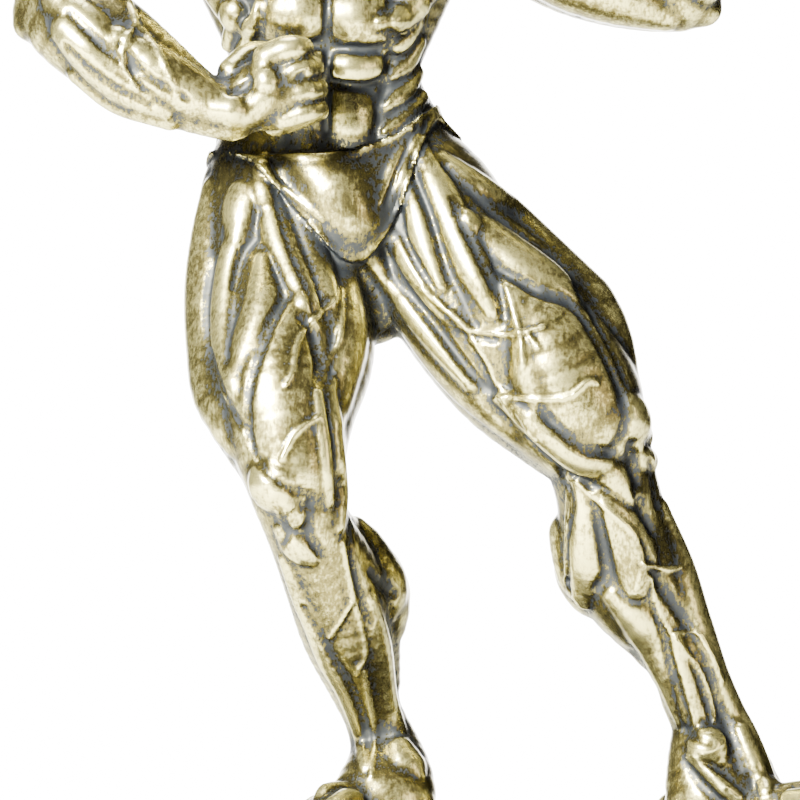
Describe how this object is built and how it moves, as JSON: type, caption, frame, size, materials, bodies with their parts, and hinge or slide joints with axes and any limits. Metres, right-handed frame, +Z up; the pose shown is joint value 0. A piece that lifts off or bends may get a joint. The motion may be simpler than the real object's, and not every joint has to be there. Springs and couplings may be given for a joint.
{
  "type": "figure trophy",
  "caption": "Physique trophy: a muscular standing figure in trunks, one arm across the waist and one raised, cast in antique gold and bolted to a black stepped plinth with a blank plate.",
  "frame": {"origin": "centre of the felt underside, on the surface that the trophy stands on", "axes": "+Z up, the figure faces -Y, and its raised left arm is on the +X side"},
  "size_m": [0.2467, 0.116, 0.3769],
  "materials": {
    "gold_patina": "cold-cast resin, black undercoat with dry-brushed antique gold paint",
    "steel": "plain ground steel dowel",
    "zinc_steel": "bright zinc plated",
    "spring_steel": "dark oiled spring steel",
    "black_lacquer": "polished black lacquer",
    "plate_brass": "brushed and clear coated",
    "felt": "pressed wool felt"
  },
  "bodies": {
    "root": {"torso_casting": "gold_patina", "head_casting": "gold_patina", "right_arm_casting": "gold_patina", "left_arm_casting": "gold_patina", "right_leg_casting": "gold_patina", "left_leg_casting": "gold_patina", "neck_dowel": "steel", "right_shoulder_dowel": "steel", "left_shoulder_dowel": "steel", "right_hip_dowels": "steel", "left_hip_dowels": "steel", "right_foot_stud": "zinc_steel", "left_foot_stud": "zinc_steel", "plinth_block": "black_lacquer", "plinth_board": "black_lacquer", "plinth_screws": "zinc_steel", "name_plate": "plate_brass", "name_plate_pins": "plate_brass", "stud_washers": "zinc_steel", "stud_lock_washers": "spring_steel", "stud_nuts": "zinc_steel", "base_felt": "felt"}
  },
  "joints": []
}
